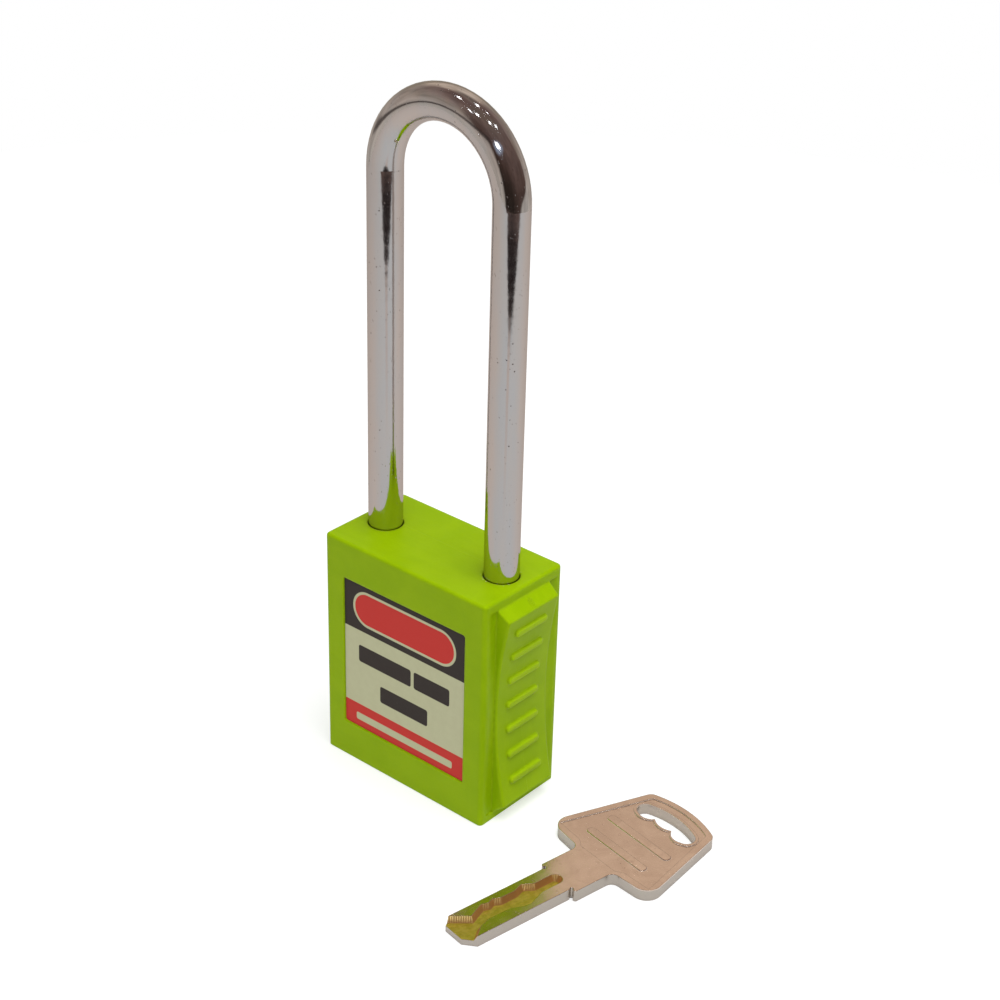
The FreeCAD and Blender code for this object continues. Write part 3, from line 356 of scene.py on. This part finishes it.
def printed_label(node):
    """Vinyl label with generic print: bands, a red badge, and plain blocks and a plain bar."""
    material, tree = new_material(node + "_print")
    low, high = (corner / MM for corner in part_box(node))
    centre = (low + high) / 2
    half = (high - low) / 2
    place = tree.place()
    x, _, z = tree.axes(place)
    x = tree.math("SUBTRACT", x, centre.x)
    z = tree.math("SUBTRACT", z, low.z)
    mottled = tree.noise(place, 0.7, 4.0, 0.6)
    paper = tree.mix(tree.step(mottled, 0.3, 0.7), CREAM, CREAM_SHADE)
    band_low = half.z * 2 - BAND_HEIGHT
    foot = tree.step(z, FOOT_HEIGHT + PRINT_EDGE, FOOT_HEIGHT - PRINT_EDGE)
    band = tree.step(z, band_low - PRINT_EDGE, band_low + PRINT_EDGE)
    badge = (0.0, band_low + BADGE_RISE)
    colour = tree.mix(foot, paper, RED)
    for block in WORD_BLOCKS:
        colour = tree.mix(tree.round_box(x, z, *block), colour, INK)
    colour = tree.mix(tree.round_box(x, z, *FOOT_BAR), colour, paper)
    colour = tree.mix(band, colour, INK)
    colour = tree.mix(tree.round_box(x, z, badge, *BADGE_RIM), colour, paper)
    colour = tree.mix(tree.round_box(x, z, badge, *BADGE_FIELD), colour, RED)
    worn = tree.step(tree.noise(place, 1.6, 5.0, 0.7), 0.66, 0.8)
    colour = tree.mix(tree.product(worn, 0.25), colour, PRINT_WORN)
    grain = tree.noise(place, 5.0, 3.0, 0.6)
    rough = tree.step(tree.noise(place, 0.8, 4.0, 0.6), 0.2, 0.8, 0.3, 0.46)
    normal = tree.bump(tree.noise(place, 0.22, 2.0), 0.05)
    normal = tree.bump(grain, 0.004, normal)
    tree.shader(colour, rough, normal, IOR=1.48, Specular_IOR_Level=0.14)
    return material


def chrome():
    """Polished chrome with faint tint clouds, hairlines, short scratches and pits."""
    material, tree = new_material("polished_chrome")
    place = tree.place()
    clouds = tree.noise(tree.stretch(place, 1.0, 1.0, 0.16), 0.5, 3.0, 0.5)
    colour = tree.mix(tree.step(clouds, 0.35, 0.65), CHROME_WARM, CHROME_COOL)
    spots = tree.cells(place, 0.55)
    rare = tree.step(tree.noise(place, 0.23, 2.0), 0.44, 0.56)
    pits = tree.product(tree.step(spots, 0.1, 0.04), rare)
    colour = tree.mix(tree.product(pits, 0.6), colour, CHROME_PIT)
    slanted = tree.stretch(tree.node("VectorRotate", {
        "Vector": place, "Axis": (0.3, 1.0, 0.2), "Angle": 0.6}).outputs[0], 4.5, 4.5, 0.55)
    nicks = tree.product(tree.step(tree.cells(slanted, 0.5), 0.16, 0.08),
                         tree.step(tree.noise(place, 0.31, 2.0, 0.5), 0.48, 0.58))
    colour = tree.mix(tree.product(nicks, 0.45), colour, CHROME_PIT)
    hairlines = tree.noise(tree.stretch(place, 9.0, 9.0, 0.9), 0.9, 3.0, 0.6)
    rough = tree.step(tree.noise(place, 0.6, 4.0, 0.6), 0.25, 0.75, 0.05, 0.11)
    rough = tree.math("ADD", rough, tree.product(pits, 0.3))
    normal = tree.bump(tree.noise(place, 0.28, 2.0, 0.5), 0.02)
    normal = tree.bump(hairlines, 0.0028, normal)
    normal = tree.bump(tree.noise(place, 7.0, 3.0, 0.7), 0.0014, normal)  # fine haze
    dents = tree.math("ADD", pits, nicks)
    normal = tree.bump(tree.math("SUBTRACT", 1.0, dents), 0.02, normal)
    tree.shader(colour, rough, normal, Metallic=1.0, Specular_Tint=CHROME_EDGE)
    return material


def machined(name, dark, light, roughness=0.3, grooves=2.4):
    """Turned or drawn metal: fine tool lines, a little tarnish, brighter edges."""
    material, tree = new_material(name)
    place = tree.place()
    tarnish = tree.noise(place, 0.6, 4.0, 0.6, 0.4)
    colour = tree.mix(tree.step(tarnish, 0.3, 0.7), dark, light)
    bevel = tree.softened(0.15)
    colour = tree.mix(tree.product(tree.edges(bevel), 0.4), colour,
                      tuple(min(1.0, part * 1.2) for part in light[:3]) + (1,))
    lines = tree.noise(tree.stretch(place, 1.0, 1.0, 6.0), grooves, 3.0, 0.6)
    rough = tree.step(tree.noise(place, 1.2, 4.0, 0.6), 0.2, 0.8, roughness - 0.07,
                      roughness + 0.1)
    normal = tree.bump(lines, 0.008, bevel)
    tree.shader(colour, rough, normal, Metallic=1.0)
    return material


def cast_metal(name, dark, light, roughness=0.5):
    """Die-cast or sand-blasted metal: grainy skin with darker hollows."""
    material, tree = new_material(name)
    place = tree.place()
    skin = tree.noise(place, 2.2, 5.0, 0.65)
    colour = tree.mix(tree.step(skin, 0.35, 0.65), dark, light)
    rough = tree.step(tree.noise(place, 0.9, 3.0), 0.2, 0.8, roughness - 0.08, roughness + 0.1)
    normal = tree.bump(skin, 0.04)
    normal = tree.bump(tree.noise(place, 0.4, 2.0), 0.05, normal)
    tree.shader(colour, rough, normal, Metallic=0.85)
    return material


def key_axes():
    """The key's own origin and directions: along the blade to the bow, and across it."""
    along = Vector((math.cos(KEY_TURN), math.sin(KEY_TURN)))
    across = Vector((-along.y, along.x))
    points = [vertex.co.xy for vertex in frame["nodes"]["key"].data.vertices]
    reach = max(point.dot(along) for point in points) - KEY_LENGTH_AHEAD
    sides = [point.dot(across) for point in points]
    return along * reach + across * (min(sides) + max(sides)) / 2, along, across


def plated_key():
    """Tumbled nickel plate, and bare brass where the track was milled through it."""
    material, tree = new_material("nickel_plated_key")
    origin, along, across = key_axes()
    place = tree.place()
    flat = tree.vector("SUBTRACT", place, (origin.x / MM, origin.y / MM, 0.0))

    def measure(direction):
        return tree.dot(flat, (direction.x, direction.y, 0.0))

    u, v = measure(along), measure(across)
    _, _, z = tree.axes(place)
    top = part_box("key")[1].z / MM
    own = tree.node("CombineXYZ", {0: u, 1: v, 2: z}).outputs[0]
    facing = tree.node("NewGeometry").outputs["Normal"]
    level = tree.magnitude(tree.axes(facing)[2])
    inside = tree.product(tree.round_box(u, v, *BLADE_FACE, 0.5, 0.02),
                          tree.step(z, top - 0.004, top - 0.02), tree.step(z, 0.6, 0.7),
                          tree.step(level, 0.2, 0.35))

    clouds = tree.noise(own, 0.17, 4.0, 0.6, 1.0)
    nickel = tree.mix(tree.step(clouds, 0.32, 0.68), NICKEL_DARK, NICKEL_LIGHT)
    stain = tree.step(tree.noise(own, 0.42, 5.0, 0.7, 0.5), 0.56, 0.74)
    nickel = tree.mix(tree.product(stain, 0.3), nickel, NICKEL_STAIN)
    nickel = tree.mix(tree.step(level, 0.7, 0.4), nickel, NICKEL_SIDE)
    specks = tree.product(tree.step(tree.cells(own, 0.7), 0.12, 0.05),
                          tree.step(tree.noise(own, 0.3), 0.5, 0.62))
    nickel = tree.mix(tree.product(specks, 0.5), nickel, NICKEL_SPECK)
    # The ledge is painted pale and less metallic: a painted highlight.
    ledge_highlight = tree.product(tree.step(z, top - 0.2, top - 0.17), tree.step(level, 0.9, 0.6),
                         tree.step(u, 20.2, 20.6))
    nickel = tree.mix(ledge_highlight, nickel, NICKEL_LEDGE_HIGHLIGHT)
    bevel = tree.softened(0.16)
    # Edges painted lighter: rubbed wear and a painted highlight.
    nickel = tree.mix(tree.product(tree.edges(bevel), 0.35), nickel, NICKEL_RUBBED_AND_HIGHLIGHT)

    wall = tree.product(inside, tree.step(level, 0.93, 0.8))
    down_wall = tree.math("SUBTRACT", tree.product(u, STEP_FACING[1]),
                          tree.product(v, STEP_FACING[0]))
    ridges = tree.node("TexWave", {
        "Vector": tree.node("CombineXYZ", {0: down_wall, 1: z}).outputs[0], "Scale": 0.8,
        "Distortion": 2.2, "Detail": 3.0, "Detail Scale": 4.0, "Detail Roughness": 0.7},
        wave_type="BANDS", bands_direction="X").outputs["Fac"]
    # Walls facing the steps' way get bright, less metallic tool lines: a painted highlight.
    steps = along * -STEP_FACING[0] + across * -STEP_FACING[1]
    square_on = tree.dot(facing, (steps.x, steps.y, 0.0))
    tool_line_highlight = tree.product(wall, tree.step(square_on, 0.76, 0.84), tree.step(ridges, 0.1, 0.9),
                          tree.step(z, top - 1.2, top - 0.3),
                          tree.step(u, -3.0, -5.0, 0.6, 1.0))
    brass = tree.mix(tree.step(tree.noise(own, 0.9, 4.0, 0.6), 0.35, 0.65),
                     BRASS_DARK, BRASS_LIGHT)
    brass = tree.mix(wall, brass, BRASS_WALL)
    brass = tree.mix(tool_line_highlight, brass, BRASS_HIGHLIGHT)
    colour = tree.mix(inside, nickel, brass)
    dull = tree.math("ADD", tree.product(inside, 0.22), tree.product(tool_line_highlight, 0.5))
    metallic = tree.math("SUBTRACT", 1.0, tree.math("ADD", dull, tree.product(ledge_highlight, 0.8)))

    tumbled = tree.noise(own, 4.5, 4.0, 0.65)
    scratch = tree.step(tree.noise(tree.stretch(own, 0.5, 7.0, 1.0), 0.9, 2.0, 0.5), 0.6, 0.72)
    contours = tree.node("TexWave", {"Vector": own, "Scale": 0.5, "Distortion": 5.0,
                                     "Detail": 1.0, "Detail Scale": 0.35},
                         wave_type="BANDS", bands_direction="Y").outputs["Fac"]
    rough = tree.step(tree.noise(own, 0.35, 4.0, 0.6), 0.25, 0.75, 0.16, 0.25)
    rough = tree.math("ADD", rough, tree.product(stain, 0.08))
    rough = tree.math("ADD", rough, tree.product(inside, 0.14))
    normal = tree.bump(tree.noise(own, 0.22, 3.0, 0.5), 0.06, bevel)
    normal = tree.bump(tumbled, 0.0035, normal)
    normal = tree.bump(tree.math("SUBTRACT", 1.0, scratch), 0.004, normal)
    milled = tree.mix(wall, contours, ridges)
    normal = tree.bump(tree.product(milled, inside), 0.03, normal)
    made = tree.shader(colour, rough, normal)
    tree.feed(made.inputs["Metallic"], metallic)
    return material


def give_materials():
    """Every CAD node gets the finish of its material slot in the record."""
    finishes = {
        "lime_nylon": moulded_nylon("lime_nylon", LIME_DARK, LIME_LIGHT, LIME_WORN_AND_HIGHLIGHT, shell=True),
        "black_nylon": moulded_nylon("black_nylon", BLACK_DARK, BLACK_LIGHT, BLACK_WORN_AND_HIGHLIGHT, 0.5),
        "cast_zinc": cast_metal("cast_zinc", (0.36, 0.37, 0.39, 1), (0.5, 0.51, 0.52, 1)),
        "brass": machined("machined_brass", (0.58, 0.38, 0.14, 1), (0.8, 0.58, 0.27, 1)),
        "nickel_silver": machined("turned_nickel_silver", (0.56, 0.52, 0.44, 1),
                                  (0.74, 0.7, 0.6, 1), 0.22),
        "plain_steel": machined("hardened_steel", (0.42, 0.42, 0.43, 1),
                                (0.62, 0.62, 0.63, 1), 0.26),
        "spring_steel": machined("spring_wire", (0.33, 0.33, 0.35, 1),
                                 (0.52, 0.52, 0.54, 1), 0.3, 1.2),
        "chromed_steel": chrome(),
        "nickel_plated_brass": plated_key(),
    }
    slots = {part["node"]: part["material_slot"] for part in frame["record"]["subparts"]}
    for name, node in frame["nodes"].items():
        slot = slots[name]
        finish = printed_label(name) if slot == "label_vinyl" else finishes[slot]
        node.data.materials.clear()
        node.data.materials.append(finish)
    return finishes


# ---------------------------------------------------------------- added pieces

def add_key_bars(finish):
    """Two plain raised bars in the bow's panel, where a name would be stamped."""
    origin, along, across = key_axes()
    panel_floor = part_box("key")[1].z - PANEL_DEPTH
    for number, (at, half_length) in enumerate(BAR_PLACES, 1):
        mesh = bmesh.new()
        bmesh.ops.create_cube(mesh, size=1.0)
        for vertex in mesh.verts:
            vertex.co = (vertex.co.x * BAR_WIDTH, vertex.co.y * 2 * half_length * MM,
                         vertex.co.z * 2 * BAR_HEIGHT)
        upright = [edge for edge in mesh.edges
                   if abs(edge.verts[0].co.z - edge.verts[1].co.z) > BAR_HEIGHT]
        bmesh.ops.bevel(mesh, geom=upright, offset=BAR_CORNER, segments=8, affect="EDGES",
                        profile=0.5)
        rim = [edge for edge in mesh.edges
               if min(edge.verts[0].co.z, edge.verts[1].co.z) > BAR_HEIGHT * 0.9]
        bmesh.ops.bevel(mesh, geom=rim, offset=BAR_EDGE, segments=5, affect="EDGES",
                        profile=0.5)
        data = bpy.data.meshes.new(f"key_panel_bar_{number}")
        mesh.to_mesh(data)
        mesh.free()
        for face in data.polygons:
            face.use_smooth = True
        bar = bpy.data.objects.new(data.name, data)
        bpy.context.scene.collection.objects.link(bar)
        spot = origin + along * at * MM
        data.transform(Matrix.Translation((spot.x, spot.y, panel_floor))
                       @ Matrix.Rotation(KEY_TURN, 4, "Z"))
        data.materials.append(finish)
        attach(bar, "key")


# ---------------------------------------------------------------- floor, light, camera

def turned_from_front(tree, x, y):
    """Degrees round the vertical from the room's front, plus to the right of it."""
    ahead = tree.math("ADD", tree.product(x, math.cos(ROOM_FRONT)),
                      tree.product(y, math.sin(ROOM_FRONT)))
    aside = tree.math("SUBTRACT", tree.product(y, math.cos(ROOM_FRONT)),
                      tree.product(x, math.sin(ROOM_FRONT)))
    return tree.math("DEGREES", tree.math("ARCTAN2", aside, ahead))


def add_floor():
    """A plain pale round table top. At the room's front the metal sees a dark edge in it."""
    mesh = bmesh.new()
    bmesh.ops.create_circle(mesh, cap_ends=True, radius=FLOOR_RADIUS, segments=256)
    data = bpy.data.meshes.new("floor")
    mesh.to_mesh(data)
    mesh.free()
    floor = bpy.data.objects.new("floor", data)
    bpy.context.scene.collection.objects.link(floor)
    floor.location.z = -FLOOR_DROP
    material, tree = new_material("pale_table")
    x, y, _ = tree.axes(tree.node("TexCoord").outputs["Object"])
    reach = tree.math("SQRT", tree.math("ADD", tree.product(x, x), tree.product(y, y)))
    turn = tree.math("SUBTRACT", turned_from_front(tree, x, y), DARK_EDGE_TURN)
    off = tree.magnitude(turn)
    spread = tree.step(turn, -2.0, 2.0, DARK_EDGE_LEFT, DARK_EDGE_RIGHT)
    start = tree.math("ADD", DARK_EDGE_START, tree.product(turn, turn, spread))
    shaded = tree.step(tree.math("SUBTRACT", reach, start), -0.006, 0.012)
    end = tree.math("SUBTRACT", DARK_EDGE_END, tree.product(off, DARK_EDGE_TAPER))
    fading = tree.step(tree.math("SUBTRACT", reach, end), -0.003, 0.002)
    ray = tree.node("LightPath").outputs
    speck = tree.noise(tree.place(), 0.8, 4.0, 0.6)
    pale = tree.mix(speck, grey(0.5), grey(0.52))
    sides = tree.step(off, 35.0, 95.0)
    mirrored = tree.mix(sides, MIRRORED_FRONT, MIRRORED_SIDES)
    tail = tree.product(tree.step(off, 9.0, 5.0), tree.step(reach, 0.10, 0.19))
    mirrored = tree.mix(tail, mirrored, MIRRORED_TAIL)
    pale = tree.mix(ray["Is Glossy Ray"], pale, mirrored)
    matt = tree.node("BsdfDiffuse", {"Color": pale}).outputs[0]
    glow = tree.math("ADD", TABLE_GLOW, tree.product(ray["Is Camera Ray"], GLOW_FOR_CAMERA))
    glow = tree.math("SUBTRACT", glow, tree.product(ray["Is Glossy Ray"], GLOW_OFF_METAL))
    lit = tree.node("Emission", {"Color": grey(1.0), "Strength": glow}).outputs[0]
    table = tree.node("AddShader", {0: matt, 1: lit}).outputs[0]
    dark = tree.mix(fading, DARK_EDGE_COLOUR, DARK_EDGE_FADED)
    dark = tree.node("BsdfDiffuse", {"Color": dark}).outputs[0]
    both = tree.node("MixShader", {0: tree.product(shaded, ray["Is Glossy Ray"]), 1: table,
                                   2: dark})
    tree.node("OutputMaterial", {"Surface": both.outputs[0]})
    data.materials.append(material)


def direction(turn, rise):
    """The unit vector at an angle round from the room's front and an angle above level."""
    flat = ROOM_FRONT + math.radians(turn)
    tilt = math.radians(rise)
    return Vector((math.cos(flat) * math.cos(tilt), math.sin(flat) * math.cos(tilt),
                   math.sin(tilt)))


def lamp(tree, way, turn, rise, tilt, long, short):
    """1 inside a small oval round a direction; tilt is its length's angle from level."""
    middle = direction(turn, rise)
    level = direction(turn + 90.0, 0.0)
    upward = middle.cross(level)
    tilt = math.radians(tilt)
    axes = (level * math.cos(tilt) + upward * math.sin(tilt),
            upward * math.cos(tilt) - level * math.sin(tilt))
    squares = []
    for axis, half in zip(axes, (long, short)):
        share = tree.math("DIVIDE", tree.dot(way, axis), math.sin(math.radians(half)))
        squares.append(tree.product(share, share))
    return tree.product(tree.step(tree.math("ADD", *squares), 1.3, 0.1),
                        tree.math("GREATER_THAN", tree.dot(way, middle), 0.0))


def add_world():
    """White all round for the camera, soft pale light, and a dim room in reflections."""
    world = bpy.data.worlds.new("studio")
    bpy.context.scene.world = world
    world.use_nodes = True
    tree = Tree(world.node_tree)
    way = tree.node("TexCoord").outputs["Generated"]
    x, y, z = tree.axes(way)
    turn = turned_from_front(tree, x, y)
    rise = tree.math("DEGREES", tree.math("ARCSINE", z))
    up = tree.math("DIVIDE", tree.math("ADD", rise, 90.0), 180.0)

    def ramp(stops):
        made = tree.node("ValToRGB", {0: up})
        elements = made.color_ramp.elements
        for index, (degrees, colour) in enumerate(stops):
            at = (degrees + 90.0) / 180.0
            element = elements[index] if index < 2 else elements.new(at)
            element.position = at
            element.color = (*colour, 1.0)
        return made.outputs[0]

    near = tree.mix(tree.step(turn, 0.0, 40.0), ramp(ROOM_NEAR), ramp(ROOM_WARM))
    slope = tree.math("SUBTRACT", tree.product(tree.math("ADD", turn, 93.0), 0.55), 8.0)
    above = tree.math("SUBTRACT", rise, tree.math("MAXIMUM", slope, -6.5))
    brown = tree.math("MAXIMUM", tree.product(tree.step(turn, -70.0, -52.0),
                                              tree.step(above, -2.0, 3.0)),
                      tree.step(turn, -46.0, -33.0))
    past = tree.math("SUBTRACT", turn, tree.step(rise, -19.0, 4.0, 44.0, 97.0))
    brown = tree.product(brown, tree.step(past, 14.0, -4.0))
    room = tree.mix(brown, ramp(ROOM_FAR), near)
    rail = tree.product(tree.step(tree.magnitude(above), 5.5, 1.5),
                        tree.step(turn, -148.0, -120.0), tree.step(turn, -24.0, -36.0))
    room = tree.mix(tree.product(rail, 0.85), room, RAIL_COLOUR)
    room = tree.mix(tree.step(tree.magnitude(turn), 138.0, 164.0), room, ramp(ROOM_BACK))
    blotch = tree.noise(way, 4.0, 5.0, 0.65)
    room = tree.mix(tree.step(blotch, 0.35, 0.65), room, grey(0.7), "MULTIPLY")
    for spot in LAMPS:
        room = tree.mix(lamp(tree, way, *spot), room, LAMP_LIGHT)
    halo = tree.mix(lamp(tree, way, *HALO), grey(0.0), HALO_LIGHT)
    room = tree.mix(1.0, room, halo, "ADD")
    ray = tree.node("LightPath")
    lit = tree.mix(ray.outputs["Is Glossy Ray"], grey(ROOM_FILL), room)
    lit = tree.mix(ray.outputs["Is Camera Ray"], lit, grey(1.0))
    background = tree.node("Background", {"Color": lit, "Strength": 1.0})
    tree.node("OutputWorld", {"Surface": background.outputs[0]})


def add_softbox():
    """One large soft light overhead, left out of the metal's reflections."""
    data = bpy.data.lights.new("softbox_over", "AREA")
    data.shape = "DISK"
    data.size = SOFTBOX_SIZE
    data.energy = SOFTBOX_WATTS
    light = bpy.data.objects.new("softbox_over", data)
    bpy.context.scene.collection.objects.link(light)
    light.location = SOFTBOX_PLACE
    aim = Vector(SOFTBOX_AIM) - Vector(SOFTBOX_PLACE)
    light.rotation_euler = aim.to_track_quat("-Z", "Y").to_euler()
    light.visible_glossy = False
    light.visible_camera = False


def add_camera():
    """The photograph's camera, fitted to the edges of the body, shackle and label."""
    data = bpy.data.cameras.new("camera")
    data.lens = CAMERA_LENS
    data.sensor_width = CAMERA_SENSOR
    data.clip_start = CAMERA_NEAREST
    camera = bpy.data.objects.new("camera", data)
    bpy.context.scene.collection.objects.link(camera)
    level = Vector((math.cos(CAMERA_AZIMUTH), math.sin(CAMERA_AZIMUTH), 0.0))
    forward = Vector((-math.sin(CAMERA_AZIMUTH) * math.cos(CAMERA_ELEVATION),
                      math.cos(CAMERA_AZIMUTH) * math.cos(CAMERA_ELEVATION),
                      -math.sin(CAMERA_ELEVATION)))
    right = level * math.cos(CAMERA_ROLL) + forward.cross(level) * math.sin(CAMERA_ROLL)
    axes = Matrix((right, right.cross(forward), -forward)).transposed()
    camera.matrix_world = Matrix.Translation(CAMERA_PLACE) @ axes.to_4x4()
    bpy.context.scene.camera = camera


finishes = give_materials()
add_key_bars(finishes["nickel_plated_brass"])
add_floor()
add_world()
add_softbox()
add_camera()
bpy.context.scene.view_settings.view_transform = "Standard"
